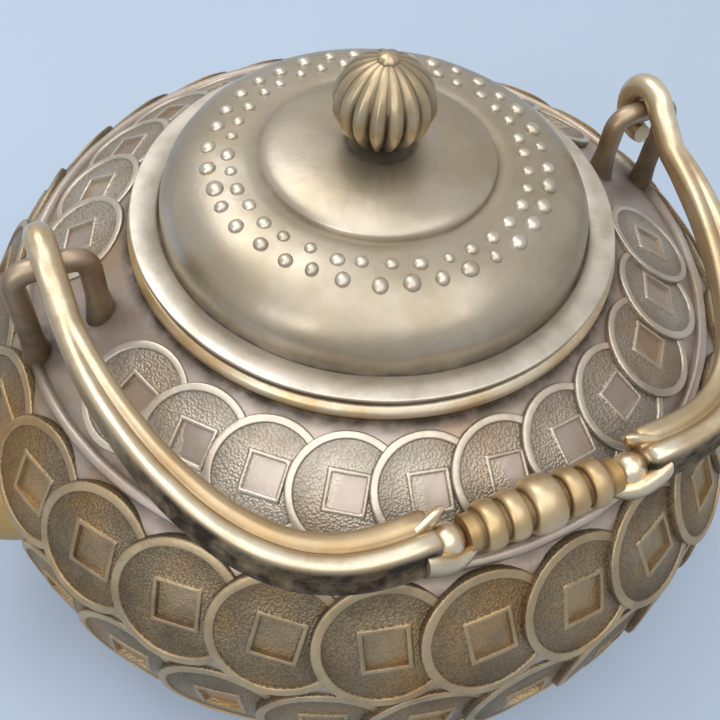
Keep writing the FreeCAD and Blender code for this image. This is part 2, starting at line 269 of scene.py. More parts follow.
def note(bm, measure):
    """Writes bright amounts (rubbed, and painted highlight) and dark amounts (dirt, and painted shade),
    from a function of a point, onto every vertex.
    """
    wear_and_highlight = bm.verts.layers.float["wear_and_highlight"]
    grime_and_shade = bm.verts.layers.float["grime_and_shade"]
    for v in bm.verts:
        v[wear_and_highlight], v[grime_and_shade] = measure(v.co)


def hump(gap, width):
    """1 where the gap is nothing, falling softly to 0 past the width."""
    return math.exp(-(gap / width) ** 2)


def from_axis(co):
    """Distance of a point from the pot's axis."""
    return math.hypot(co.x, co.y)


def turn_gap(angle, middle):
    """Signed turn from one angle to another, the short way round."""
    return (angle - middle + math.pi) % (2 * math.pi) - math.pi


def picked(made, kind):
    """Those elements of an operator's result that are of one kind."""
    return [g for g in made["geom"] if isinstance(g, kind)]


def face_outward(bm):
    """Turns every face of closed shells outward."""
    bmesh.ops.recalc_face_normals(bm, faces=bm.faces[:])


def string(bm, points):
    """Open wire through points."""
    verts = [bm.verts.new(p) for p in points]
    for a, b in zip(verts, verts[1:]):
        bm.edges.new((a, b))
    return verts


def line(bm, outline):
    """Open wire in the XZ plane through (radius, height) points."""
    return string(bm, [(r, 0, z) for r, z in outline])


def soften(bm, verts, offset, segments):
    """Rounds corners of a wire before it is turned."""
    bmesh.ops.bevel(bm, geom=verts, offset=offset, segments=segments, profile=0.5,
                    affect="VERTICES", material=-1)


def round_edges(bm, edges, offset, segments):
    """Rounds edges of a shell."""
    bmesh.ops.bevel(bm, geom=edges, offset=offset, segments=segments, profile=0.5,
                    affect="EDGES", material=-1)


def turn(bm, steps=144, axis=(0, 0, 1), centre=(0, 0, 0)):
    """Turns everything in the bmesh once round an axis and closes the seam."""
    bmesh.ops.spin(bm, geom=bm.verts[:] + bm.edges[:], cent=centre, axis=axis,
                   angle=2 * math.pi, steps=steps, use_merge=True)
    bmesh.ops.remove_doubles(bm, verts=bm.verts[:], dist=0.01 * mm)
    face_outward(bm)


def seat_at(place, run, sideways, width, height):
    """Matrix that carries a unit circle on XY to a cross-section of a rod."""
    run = run.normalized()
    sideways = (sideways - run * sideways.dot(run)).normalized()
    upward = run.cross(sideways)
    return Matrix((
        (sideways.x * width, upward.x * height, run.x, place.x),
        (sideways.y * width, upward.y * height, run.y, place.y),
        (sideways.z * width, upward.z * height, run.z, place.z),
        (0, 0, 0, 1)))


def tube(bm, stations, sides, section=None, marks=None):
    """Skins a closed rod through (place, direction, sideways, width, height, share) stations."""
    wear_and_highlight = bm.verts.layers.float["wear_and_highlight"]
    grime_and_shade = bm.verts.layers.float["grime_and_shade"]
    ringed = None
    for place, run, sideways, width, height, share in stations:
        seat = seat_at(place, run, sideways, width, height)
        ring = bmesh.ops.create_circle(bm, segments=sides, radius=1.0, cap_ends=False)["verts"]
        for v in ring:
            angle = math.atan2(v.co.y, v.co.x)
            if section:
                v.co *= section(angle, share)
            if marks:
                v[wear_and_highlight], v[grime_and_shade] = marks(angle, share)
        bmesh.ops.transform(bm, matrix=seat, verts=ring)
        edges = list({e for v in ring for e in v.link_edges})
        if ringed is None:
            bmesh.ops.contextual_create(bm, geom=ring)
        else:
            bmesh.ops.bridge_loops(bm, edges=ringed + edges)
        ringed = edges
        last = ring
    bmesh.ops.contextual_create(bm, geom=last)
    face_outward(bm)


def cast_unevenly(bm, depth, size, above=0.0):
    """Moves the surface in and out a little, since a hand-made casting is never quite true."""
    bm.normal_update()
    for v in bm.verts:
        if v.co.z > above:
            v.co += v.normal * depth * noise.noise(v.co / size)


def mesh_of(name, bm):
    """Mesh with a bmesh's shape; the bmesh is done with."""
    mesh = bpy.data.meshes.new(name)
    bm.to_mesh(mesh)
    bm.free()
    return mesh


def put(name, data):
    """New object in the scene."""
    thing = bpy.data.objects.new(name, data)
    bpy.context.scene.collection.objects.link(thing)
    return thing


def piece(name, bm, body, finish, node, sharp=40):
    """Makes an object of a bmesh, on a body of the frame and in place of its plain node."""
    mesh = mesh_of(name, bm)
    mesh.shade_smooth()
    mesh.set_sharp_from_angle(angle=math.radians(sharp))
    thing = put(name, mesh)
    thing.data.materials.append(finish)
    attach(thing, body)
    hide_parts(node)


# Finishes; a scale is how many clouds or grains there are to the metre

# Dark tone for dirt, and also for painted shade where the marks ask for it
grime_and_shade_tone = (0.045, 0.032, 0.022, 1)
metal_share = 0.85
cloud_grain = 0.62
shade_scale = 45.0
stain_scale = 58.0
wear_scale = 110.0
dirt_scale = 220.0
pit_scale = 700.0
pit_depth = 0.25 * mm
stipple_scale = 2100.0
stipple_depth = 0.3 * mm
stipple_strength = 0.7
stipple_shade = 0.4


def brass(name, body, shade, bright, rough, stain, stained, pit=0.2, stipple=0.0):
    """Aged brass: cloudy colour, fine pits, rubbed edges with some painted highlights, dirt and painted
    shade from the marks, and a stippled ground.
    """
    finish = bpy.data.materials.new(name)
    finish.use_nodes = True
    nodes = finish.node_tree.nodes
    links = finish.node_tree.links
    shader = nodes["Principled BSDF"]
    shader.inputs["Metallic"].default_value = metal_share
    coords = nodes.new("ShaderNodeTexCoord")

    def cloud(scale, detail):
        """Cloudy amounts round a half."""
        clouds = nodes.new("ShaderNodeTexNoise")
        clouds.inputs["Scale"].default_value = scale
        clouds.inputs["Detail"].default_value = detail
        clouds.inputs["Roughness"].default_value = cloud_grain
        links.new(coords.outputs["Object"], clouds.inputs["Vector"])
        return clouds.outputs["Fac"]

    def spread(value, low, high, start, stop):
        """The value's run from low to high, stretched from start to stop."""
        reach = nodes.new("ShaderNodeMapRange")
        reach.inputs["From Min"].default_value = low
        reach.inputs["From Max"].default_value = high
        reach.inputs["To Min"].default_value = start
        reach.inputs["To Max"].default_value = stop
        links.new(value, reach.inputs["Value"])
        return reach.outputs["Result"]

    def joined(operation, a, b):
        """Two values multiplied or added."""
        sums = nodes.new("ShaderNodeMath")
        sums.operation = operation
        links.new(a, sums.inputs[0])
        links.new(b, sums.inputs[1])
        return sums.outputs[0]

    def blend(factor, under, over):
        """One tone laid over a colour."""
        mix = nodes.new("ShaderNodeMix")
        mix.data_type = "RGBA"
        links.new(factor, mix.inputs["Factor"])
        links.new(under, mix.inputs["A"])
        mix.inputs["B"].default_value = over
        return mix.outputs["Result"]

    def noted(layer):
        """Amount noted on the mesh."""
        attribute = nodes.new("ShaderNodeAttribute")
        attribute.attribute_name = layer
        return attribute.outputs["Fac"]

    def dented(height, strength, distance, below=None, inward=False):
        """Fine relief in the shading, on top of what lies below."""
        bump = nodes.new("ShaderNodeBump")
        bump.inputs["Strength"].default_value = strength
        bump.inputs["Distance"].default_value = distance
        bump.invert = inward
        links.new(height, bump.inputs["Height"])
        if below:
            links.new(below, bump.inputs["Normal"])
        return bump.outputs["Normal"]

    shades = cloud(shade_scale, 7.0)
    ramp = nodes.new("ShaderNodeValToRGB")
    dark_end, light_end = ramp.color_ramp.elements
    dark_end.position = 0.34
    dark_end.color = (*shade, 1)
    light_end.position = 0.64
    light_end.color = (*body, 1)
    links.new(shades, ramp.inputs["Fac"])
    stains = spread(cloud(stain_scale, 7.0), 0.47, 0.62, 0.0, stained)
    colour = blend(stains, ramp.outputs["Color"], (*stain, 1))
    # The noted bright amount is rubbed metal and, on the bail, a painted highlight; the noted dark amount
    # is dirt in places and painted shade in others
    wear_and_highlight = noted("wear_and_highlight")
    patchy_dirt_and_shade = spread(cloud(dirt_scale, 4.0), 0.3, 0.6, 0.55, 1.0)
    dirt_and_shade = joined("MULTIPLY", noted("grime_and_shade"), patchy_dirt_and_shade)
    normal = dented(cloud(pit_scale, 3.0), pit, pit_depth)
    if stipple:
        grains = nodes.new("ShaderNodeTexVoronoi")
        grains.inputs["Scale"].default_value = stipple_scale
        links.new(coords.outputs["Object"], grains.inputs["Vector"])
        dots = spread(grains.outputs["Distance"], 0.25, 0.75, 0.0, 1.0)
        unworn = spread(wear_and_highlight, 0.1, 0.6, stipple, 0.0)
        ground = joined("MULTIPLY", dots, unworn)
        colour = blend(ground, colour, (*(stipple_shade * s for s in shade), 1))
        normal = dented(ground, stipple_strength, stipple_depth, normal, True)
    patchy_wear_and_highlight = spread(cloud(wear_scale, 6.0), 0.36, 0.58, 0.25, 1.0)
    colour = blend(joined("MULTIPLY", wear_and_highlight, patchy_wear_and_highlight), colour, (*bright, 1))
    colour = blend(dirt_and_shade, colour, grime_and_shade_tone)
    links.new(colour, shader.inputs["Base Color"])
    cloudy_rough = spread(shades, 0.3, 0.7, rough + 0.12, rough - 0.05)
    dull_dirt_and_shade = spread(dirt_and_shade, 0.0, 1.0, 0.0, 0.4)
    links.new(joined("ADD", cloudy_rough, dull_dirt_and_shade), shader.inputs["Roughness"])
    links.new(normal, shader.inputs["Normal"])
    return finish


orange = (0.48, 0.27, 0.08)
rust_brown = (0.24, 0.15, 0.07)
warm_brown = (0.39, 0.265, 0.15)
olive_brown = (0.35, 0.29, 0.185)

shoulder_brass = brass(
    "mauve_shoulder_brass", body=(0.53, 0.46, 0.41), shade=(0.37, 0.30, 0.26), bright=(0.64, 0.56, 0.47),
    rough=0.42, stain=warm_brown, stained=0.6)
small_coin_brass = brass(
    "pale_coin_brass", body=(0.57, 0.51, 0.43), shade=(0.41, 0.35, 0.28), bright=(0.69, 0.62, 0.515),
    rough=0.38, stain=warm_brown, stained=0.5, pit=0.3, stipple=0.35)
belly_coin_brass = brass(
    "olive_coin_brass", body=(0.38, 0.295, 0.185), shade=(0.16, 0.12, 0.075), bright=(0.53, 0.41, 0.255),
    rough=0.42, stain=orange, stained=0.45, pit=0.4, stipple=0.4)
lid_brass = brass(
    "grey_beige_brass", body=(0.51, 0.45, 0.365), shade=(0.375, 0.325, 0.25), bright=(0.70, 0.645, 0.56),
    rough=0.34, stain=olive_brown, stained=0.5, pit=0.12)
knob_brass = brass(
    "ribbed_knob_brass", body=(0.44, 0.35, 0.225), shade=(0.30, 0.235, 0.145), bright=(0.60, 0.49, 0.32),
    rough=0.34, stain=rust_brown, stained=0.3, pit=0.1)
collar_brass = brass(
    "orange_collar_brass", body=(0.64, 0.44, 0.19), shade=(0.48, 0.31, 0.12), bright=(0.74, 0.66, 0.52),
    rough=0.38, stain=orange, stained=0.5)
bail_brass = brass(
    "handled_bail_brass", body=(0.62, 0.49, 0.315), shade=(0.45, 0.335, 0.19), bright=(0.84, 0.76, 0.60),
    rough=0.29, stain=orange, stained=0.45, pit=0.1)
grip_brass = brass(
    "golden_grip_brass", body=(0.58, 0.42, 0.215), shade=(0.38, 0.24, 0.10), bright=(0.66, 0.55, 0.38),
    rough=0.38, stain=orange, stained=0.5, pit=0.15)
spout_brass = brass(
    "smooth_spout_brass", body=(0.62, 0.42, 0.16), shade=(0.44, 0.28, 0.11), bright=(0.75, 0.58, 0.3),
    rough=0.32, stain=orange, stained=0.4, pit=0.1)
ear_brass = brass(
    "dark_ear_brass", body=(0.43, 0.325, 0.225), shade=(0.21, 0.15, 0.10), bright=(0.6, 0.49, 0.36),
    rough=0.38, stain=orange, stained=0.3)


# Pot body: one turned wall, inside and out

def arc(a, b, radius, count):
    """Points of an arc from a to b that bulges outward, without its ends."""
    middle = (a + b) / 2
    half = (b - a).length / 2
    inward = Vector((b.y - a.y, a.x - b.x)).normalized()
    hub = middle + inward * math.sqrt(radius ** 2 - half ** 2)
    first = math.atan2(a.y - hub.y, a.x - hub.x)
    last = math.atan2(b.y - hub.y, b.x - hub.x)
    steps = [first + (last - first) * k / count for k in range(1, count)]
    return [hub + Vector((math.cos(s), math.sin(s))) * radius for s in steps]


def dark_round_ear_feet(co):
    """Darker round the ears' feet, most on the outer side."""
    outer = math.hypot(abs(co.x) - hinge_reach - ear_half, co.y)
    inner = math.hypot(abs(co.x) - hinge_reach + ear_half, co.y)
    return 0.95 * max(hump(outer, outer_ear_darkening), hump(inner, inner_ear_darkening))


def wall_marks(co):
    """Painted shadow below the collar, dirt along the cord, and darker round the ears' feet."""
    if co.z <= shoulder_from:
        return 0.0, 0.0
    # Painted shadow on the shoulder just below the collar
    shade_below_collar = 0.9 * hump(from_axis(co) - collar_radius, below_collar_shade)
    along_cord = 0.7 * hump(from_axis(co) - cord_radius, cord_dirt)
    return 0.0, max(shade_below_collar, along_cord, dark_round_ear_feet(co))


bm = blank()
inner_floor = foot_top + floor_thickness
up_shoulder = [shoulder_edge + (collar_corner - shoulder_edge) * k / shoulder_rings
               for k in range(1, shoulder_rings)]
outline = [Vector((0, foot_top)), foot_corner] + arc(low_band, foot_corner, under_round, 8)[::-1]
low_place = len(outline)
outline += [low_band, brow, shoulder_edge] + up_shoulder + [
    collar_corner, Vector((mouth_radius, collar_foot)), Vector((mouth_radius, collar_foot - wall)),
    shoulder_edge - Vector((wall, wall)), brow - Vector((wall, wall / 2)), low_band - Vector((wall, 0)),
    foot_corner + Vector((-wall, floor_thickness)), Vector((0, inner_floor))]
low_corner, brow_corner, shoulder_corner = line(bm, outline)[low_place:low_place + 3]
soften(bm, [brow_corner], brow_round, segments=8)
soften(bm, [low_corner], low_band_round, segments=6)
soften(bm, [shoulder_corner], shoulder_edge_round, segments=5)
turn(bm, steps=180)
note(bm, wall_marks)
cast_unevenly(bm, depth=0.2 * mm, size=13 * mm, above=inner_floor)
piece("pot_wall", bm, "pot", shoulder_brass, "body_shell")

bm = blank()
rim = line(bm, [(0, 0), (foot_radius - foot_taper, 0), (foot_radius, foot_top), (0, foot_top)])
soften(bm, rim[1:2], foot_round, segments=4)
turn(bm)
piece("round_foot", bm, "pot", shoulder_brass, "foot")


def collar_marks(co):
    """Pale and rubbed toward the bail, orange toward the spout; painted shade along the foot and on the
    inner part under the lid.
    """
    reach = from_axis(co)
    toward_bail = max(0.0, min(1.0, 0.5 - 1.2 * co.y / reach + 0.4 * co.x / reach))
    wear_and_highlight = 0.9 * toward_bail * (co.z > collar_foot + collar_rubbed_from)
    # Painted shade on the inner part, which lies in the shadow of the lid's flange
    if reach <= collar_inside:
        return wear_and_highlight, 0.9
    # Painted shadow along the foot, under the collar's swell
    return wear_and_highlight, 0.95 * hump(co.z - collar_foot, collar_foot_shade)


bm = blank()
rim = line(bm, [
    (mouth_radius, collar_foot),
    (collar_radius - collar_foot_back, collar_foot),
    (collar_radius - collar_foot_back, collar_foot + collar_foot_rise),
    (collar_radius, collar_foot + collar_swell_from),
    (collar_radius, collar_top - collar_swell_to),
    (collar_radius - collar_lip_back, collar_top),
    (mouth_radius, collar_top),
    (mouth_radius, collar_foot)])
soften(bm, rim[3:7], collar_round, segments=4)
turn(bm, steps=180)
note(bm, collar_marks)
piece("collar", bm, "pot", collar_brass, "mouth_collar")


def cord_marks(co):
    """A little rubbed all round, darker at the ears."""
    return 0.35, dark_round_ear_feet(co)


bm = blank()
shoulder_run = (shoulder_edge - collar_corner).normalized()
shoulder_up = Vector((-shoulder_run.y, shoulder_run.x))
cord_along = (cord_radius - collar_radius) / shoulder_run.x
cord_line = []
for along, rise in cord_section:
    foot = collar_corner + shoulder_run * (cord_along + along * cord_width)
    cord_line.append(foot + shoulder_up * rise * cord_rise)
cord_line.append(cord_line[0])
soften(bm, line(bm, cord_line)[2:6], cord_round, segments=3)
turn(bm, steps=180)
note(bm, cord_marks)
cast_unevenly(bm, depth=0.2 * mm, size=7 * mm)
piece("shoulder_cord", bm, "pot", shoulder_brass, "shoulder_ridge")


# Coins: rim, sunk stippled field, framed square hole

def coin_mesh(radius, thick):
    """One coin lying on XY, with a skirt below it that reaches the coin or the wall it lies on."""
    bm = blank()
    field = thick - coin_field_drop
    bmesh.ops.create_circle(bm, segments=coin_sides, radius=radius, cap_ends=True)
    base = bm.faces[:][0]
    bmesh.ops.translate(bm, verts=bm.verts[:], vec=(0, 0, -coin_skirt))
    top = picked(bmesh.ops.extrude_face_region(bm, geom=[base]), bmesh.types.BMFace)[0]
    bmesh.ops.translate(bm, verts=top.verts[:], vec=(0, 0, thick + coin_skirt))
    outer_edge = top.edges[:]
    bmesh.ops.inset_region(bm, faces=[top], thickness=coin_rim_share * radius)
    inner_edge = top.edges[:]
    bmesh.ops.inset_region(bm, faces=[top], thickness=coin_field_bank)
    bmesh.ops.translate(bm, verts=top.verts[:], vec=(0, 0, -coin_field_drop))
    round_edges(bm, outer_edge, coin_edge_round, segments=3)
    round_edges(bm, inner_edge, coin_rim_round, segments=2)
    bmesh.ops.delete(bm, geom=[top], context="FACES_ONLY")
    field_ring = [e for e in bm.edges if e.is_boundary and e.verts[0].co.z > 0]

    half = hole_share * radius
    wide = half + hole_frame_share * radius
    on_field = Matrix.Translation((0, 0, field)) @ Matrix.Rotation(math.pi / 4, 4, "Z")
    square = bmesh.ops.create_circle(bm, segments=4, radius=wide * math.sqrt(2), cap_ends=False,
                                     matrix=on_field)
    sides = list({e for v in square["verts"] for e in v.link_edges})
    bmesh.ops.subdivide_edges(bm, edges=sides, cuts=hole_cuts)
    reach = 1.1 * math.sqrt(2) * wide
    loop = [e for e in bm.edges if e.is_wire and all(v.co.to_2d().length < reach for v in e.verts)]
    bmesh.ops.bridge_loops(bm, edges=field_ring + loop)
    size = wide
    for next_size, lift in ((wide - hole_frame_bank, 0.8 * hole_frame_rise),
                            (wide - hole_frame_crown, 0.2 * hole_frame_rise),
                            (half + hole_frame_inside, 0),
                            (half, -0.4 * hole_frame_rise),
                            (half * hole_taper, -hole_depth)):
        step = bmesh.ops.extrude_edge_only(bm, edges=loop)
        verts = picked(step, bmesh.types.BMVert)
        bmesh.ops.scale(bm, verts=verts, vec=(next_size / size, next_size / size, 1))
        bmesh.ops.translate(bm, verts=verts, vec=(0, 0, lift))
        loop = picked(step, bmesh.types.BMEdge)
        size = next_size
    bmesh.ops.contextual_create(bm, geom=loop)
    bmesh.ops.remove_doubles(bm, verts=bm.verts[:], dist=0.005 * mm)
    face_outward(bm)

    def coin_marks(co):
        """Rubbed on the rim and the hole's frame; painted shade down the edge and a painted step shadow
        along the field's rim.
        """
        reach = from_axis(co)
        on_frame = reach < 0.6 * radius
        in_hole = reach < 0.7 * radius and co.z < field - 0.2 * mm
        shaded_edge = reach > radius - 0.1 * mm and co.z < thick - 0.3 * mm
        field_rim_shadow = reach > 0.8 * radius and abs(co.z - field) < 0.05 * mm
        wear_and_highlight = 0.75 * max(0.0, min(1.0, (co.z - field) / coin_field_drop))
        grime_and_shade = 0.0
        if on_frame:
            wear_and_highlight *= 0.8
        if in_hole:
            wear_and_highlight = 0.3
        # Painted shade: the coin's edge is darkened as where coins overlap, and a thin painted step
        # shadow runs along the field's rim
        if shaded_edge:
            grime_and_shade = 0.75
        if field_rim_shadow:
            grime_and_shade = 0.35
        return wear_and_highlight, grime_and_shade

    note(bm, coin_marks)
    return mesh_of("coin", bm)


def coin_row(name, finish, node, count, radius, thick, upper, lower, along, first_turn, round_down,
             skip=None):
    """Coins round one band of the wall; each follows the wall and lies over the one before it."""
    seat = upper + (lower - upper) * along
    slope = math.atan2(upper.y - lower.y, lower.x - upper.x)
    spacing = 2 * math.pi * seat.x / count
    round_pot = seat.x / math.sin(slope)
    lean = Matrix.Translation((seat.x, 0, seat.y)) @ Matrix.Rotation(slope, 4, "Y")
    template = coin_mesh(radius, thick)
    bm = blank()
    for k in range(count):
        angle = first_turn + 2 * math.pi * k / count
        if skip and skip(angle):
            continue
        start = len(bm.verts)
        bm.from_mesh(template)
        bm.verts.ensure_lookup_table()
        own = bm.verts[start:]
        twist = Matrix.Rotation(random.uniform(-coin_twist, coin_twist), 4, "Z")
        bmesh.ops.transform(bm, matrix=twist, verts=own)
        rise = random.uniform(1.0, most_coin_lift) * thick / spacing
        for v in own:
            v.co.z += rise * (radius - v.co.y) - coin_sink
            v.co.z -= v.co.y ** 2 / (2 * round_pot) + v.co.x ** 2 / (2 * round_down)
        bmesh.ops.transform(bm, matrix=Matrix.Rotation(angle, 4, "Z") @ lean, verts=own)
    bpy.data.meshes.remove(template)
    cast_unevenly(bm, depth=0.14 * mm, size=6 * mm)
    piece(name, bm, "pot", finish, node, sharp=45)


def at_an_ear(angle):
    """Whether a small coin would lie under one of the ears."""
    return abs(turn_gap(angle, 0)) < ear_clear or abs(turn_gap(angle, math.pi)) < ear_clear


def at_the_spout(angle):
    """Whether a low coin would lie in the spout's root."""
    return abs(turn_gap(angle, math.pi)) < spout_clear


coin_row("shoulder_coins", small_coin_brass, "coins_shoulder", count=26, radius=10.2 * mm, thick=0.7 * mm,
         upper=collar_corner, lower=shoulder_edge, along=0.42, first_turn=math.radians(200.2),
         round_down=160 * mm, skip=at_an_ear)
coin_row("belly_coins", belly_coin_brass, "coins_belly", count=27, radius=12.4 * mm, thick=1.0 * mm,
         upper=shoulder_edge, lower=brow, along=0.5, first_turn=math.radians(195.0),
         round_down=75 * mm)
coin_row("low_coins", belly_coin_brass, "coins_low", count=27, radius=12.4 * mm, thick=1.0 * mm,
         upper=brow, lower=low_band, along=0.7, first_turn=math.radians(201.6),
         round_down=60 * mm, skip=at_the_spout)


# Spout, bored from its tip

def spout_middle(t):
    """Point on the spout's middle line, from its root at 0 to its tip at 1."""
    u = 1 - t
    return (spout_start * u ** 3 + spout_bends[0] * 3 * u * u * t
            + spout_bends[1] * 3 * u * t * t + spout_stop * t ** 3)


def spout_stations(inset, first, last, steps):
    """Stations for the spout's outside, or inset from it for its bore."""
    stations = []
    for k in range(steps + 1):
        t = first + (last - first) * k / steps
        run = spout_middle(min(1, t + nudge)) - spout_middle(max(0, t - nudge))
        taper = math.sin(t * math.pi / 2) ** spout_taper
        radius = spout_root_radius + (spout_tip_radius - spout_root_radius) * taper - inset
        stations.append((spout_middle(t), run, Vector((0, 1, 0)), radius, radius, t))
    return stations


bm = blank()
tube(bm, spout_stations(0, 0, 1, 28), sides=40)
mouth = min(bm.faces, key=lambda f: (f.calc_center_median() - spout_stop).length)
lip_edges = mouth.edges[:]
bmesh.ops.inset_region(bm, faces=[mouth], thickness=spout_wall)
lip_edges += mouth.edges[:]
grime_and_shade = bm.verts.layers.float["grime_and_shade"]
bore = spout_stations(spout_wall, bore_from, 1, 24)[::-1]
for here, deeper in zip(bore, bore[1:]):
    drilled = bmesh.ops.extrude_face_region(bm, geom=[mouth])
    bmesh.ops.delete(bm, geom=[mouth], context="FACES_ONLY")
    mouth = picked(drilled, bmesh.types.BMFace)[0]
    step_in = seat_at(*deeper[:5]) @ seat_at(*here[:5]).inverted()
    bmesh.ops.transform(bm, matrix=step_in, verts=mouth.verts[:])
    # Painted shade: the bore's inside is darkened, as light hardly reaches it
    for v in mouth.verts:
        v[grime_and_shade] = 0.95
round_edges(bm, lip_edges, spout_lip_round, segments=3)
face_outward(bm)
piece("spout_tube", bm, "pot", spout_brass, "spout")


# Ears

def ear_stations(side):
    """Up one leg, along the bar and down the other leg."""
    across = Vector((0, 1, 0))
    stations = []
    for end in (-1, 1):
        bend = Vector((side * hinge_reach + end * bar_length / 2, 0, hinge_height - ear_bend))
        drop = outer_leg if end * side > 0 else inner_leg
        ground = bend + Vector((end * ear_bend, 0, -drop))
        leg = []
        for lift, swell in leg_swell:
            rod = ear_rod * swell
            leg.append((ground + Vector((0, 0, lift)), Vector((0, 0, 1)), across, rod, rod, 0))
        for degrees in range(90, -1, -15):
            angle = math.radians(degrees)
            out = Vector((end * math.sin(angle), 0, math.cos(angle)))
            run = Vector((-end * math.cos(angle), 0, math.sin(angle)))
            leg.append((bend + out * ear_bend, run, across, ear_rod, ear_rod, 0))
        if end < 0:
            stations += leg
        else:
            stations += [(p, -r, s, w, h, t) for p, r, s, w, h, t in leg[::-1]]
    return stations


def ear_marks(co):
    """Rubbed along the top of the bar, darker down the legs toward their feet."""
    above = co.z - hinge_height
    return 0.5 * hump(above - ear_rod, bar_rubbed), 0.7 * hump(above + leg_darkening_depth, leg_darkening)


for side, name in ((-1, "ear_spout"), (1, "ear_back")):
    bm = blank()
    tube(bm, ear_stations(side), sides=24)
    note(bm, ear_marks)
    piece(name + "_arch", bm, "pot", ear_brass, name)


# Lid: turned dome with its flange, hollow below

def dome_curve(share):
    """(radius, height) on the dome's outside, from its foot at 0 to its flat top at 1."""
    angle = share * math.pi / 2
    return (dome_top_radius + (dome_radius - dome_top_radius) * math.cos(angle) ** dome_power,
            flange_top + (dome_top - flange_top) * math.sin(angle) ** dome_power)


def lid_marks(co):
    """Rubbed along the flange; dirty in the groove and round the boss; painted shade in the undercut and
    below it.
    """
    reach = from_axis(co)
    on_flange = reach > flange_rubbed_from and co.z > flange_rubbed_above
    wear_and_highlight = 0.95 if on_flange else 0.0
    # Painted shade: everything below the flange's undercut is darkened as in its shadow
    if co.z < undercut_top + 0.1 * mm:
        return wear_and_highlight, 0.9
    in_groove = 0.8 * hump(reach - dome_radius - groove_middle, groove_dirt)
    round_boss = 0.35 * hump(reach - boss_radius - boss_bed_edge, boss_foot_dirt)
    return wear_and_highlight, max(in_groove, round_boss)


bm = blank()
outline = [
    (lid_radius - lid_seat, collar_top),
    (lid_radius - undercut_depth, collar_top),
    (lid_radius - undercut_depth, undercut_top),
    (lid_radius, undercut_top),
    (lid_radius, flange_top),
    (dome_radius + groove_edge, flange_top),
    (dome_radius + groove_middle, flange_top - groove_depth)]
outline += [dome_curve(k / dome_rings) for k in range(dome_rings + 1)]
outline += [(boss_radius + boss_bed_edge, dome_top - boss_bed), (0, dome_top - boss_bed)]
inside = [(0, dome_top - lid_wall), (dome_top_radius - lid_wall, dome_top - lid_wall)]
inside += [(r - lid_wall, z - lid_wall) for r, z in (dome_curve(0.7), dome_curve(0.4), dome_curve(0.15))]
inside += [outline[0]]
rim = line(bm, outline)
line(bm, inside)
soften(bm, rim[3:5], flange_round, segments=4)
turn(bm, steps=160)
note(bm, lid_marks)
cast_unevenly(bm, depth=0.16 * mm, size=10 * mm, above=undercut_top)
piece("lid_bowl", bm, "lid", lid_brass, "lid_dome", sharp=60)

bm = blank()
sleeve_bore = sleeve_radius - lid_wall
line(bm, [(sleeve_bore, sleeve_low[2]), (sleeve_radius, sleeve_low[2]), (sleeve_radius, sleeve_high[2]),
          (sleeve_bore, sleeve_high[2]), (sleeve_bore, sleeve_low[2])])
turn(bm)
piece("locating_sleeve", bm, "lid", lid_brass, "lid_sleeve")


def boss_marks(co):
    """A little rubbed at the rim, dirty round the knob's foot."""
    reach = from_axis(co)
    rubbed = 0.3 * hump(reach - boss_radius, boss_rim_rubbed)
    return rubbed, 0.85 * hump(reach - knob_dirt_radius, knob_foot_dirt)


bm = blank()
boss_line = [(0, dome_top - boss_sink), (boss_radius, dome_top - boss_sink), (boss_radius, dome_top)]
for k in range(1, boss_rings + 1):
    angle = k / boss_rings * math.pi / 2
    boss_line.append((boss_flat + (boss_radius - boss_flat) * math.cos(angle),
                      dome_top + (boss_top - dome_top) * math.sin(angle) ** boss_power))
boss_line += [(boss_flat + (knob_seat - boss_flat) * k / 3, boss_top) for k in range(1, 4)]
boss_line += [(0, boss_top)]
line(bm, boss_line)
turn(bm)
note(bm, boss_marks)
cast_unevenly(bm, depth=0.16 * mm, size=8 * mm, above=dome_top - boss_bed)
piece("lens_boss", bm, "lid", lid_brass, "lid_boss", sharp=60)


# Beads on the dome, worn low and a little out of line

def dome_seat(radius):
    """Point on the dome at a radius, and how much the dome slopes there."""
    share = min((k / 200 for k in range(201)), key=lambda s: abs(dome_curve(s)[0] - radius))
    a = dome_curve(max(0, share - nudge))
    b = dome_curve(min(1, share + nudge))
    return dome_curve(share), math.atan2(b[1] - a[1], a[0] - b[0])


def rubbed_all_over(amount):
    """The same wear everywhere, and no dirt."""
    return lambda co: (amount, 0.0)


def bead_row(name, node, ring_radius, radius, shift):
    """One ring of beads, each with its own size, height and place."""
    (r, z), slope = dome_seat(ring_radius)
    bm = blank()
    for k in range(bead_count):
        size = radius * random.uniform(0.95, 1.25)
        wander = random.uniform(-bead_wander, bead_wander)
        round_lid = 2 * math.pi * (k + shift + random.uniform(-0.09, 0.09)) / bead_count
        long = random.uniform(0.9, 1.2)
        high = random.uniform(0.55, 0.8)
        seat = (Matrix.Rotation(round_lid, 4, "Z")
                @ Matrix.Translation((r + wander, 0, z - wander * math.tan(slope)))
                @ Matrix.Rotation(slope, 4, "Y")
                @ Matrix.Diagonal((1.05, long, high, 1)))
        bmesh.ops.create_uvsphere(bm, u_segments=14, v_segments=8, radius=size, matrix=seat)
    note(bm, rubbed_all_over(0.75))
    piece(name, bm, "lid", lid_brass, node, sharp=80)


bead_row("inner_beads", "lid_beads_inner", ring_radius=27 * mm, radius=1.05 * mm, shift=0.0)
bead_row("outer_beads", "lid_beads_outer", ring_radius=30.6 * mm, radius=1.25 * mm, shift=0.5)


# Knob: broad melon ribs, deep grooves below and fine lines toward the crown

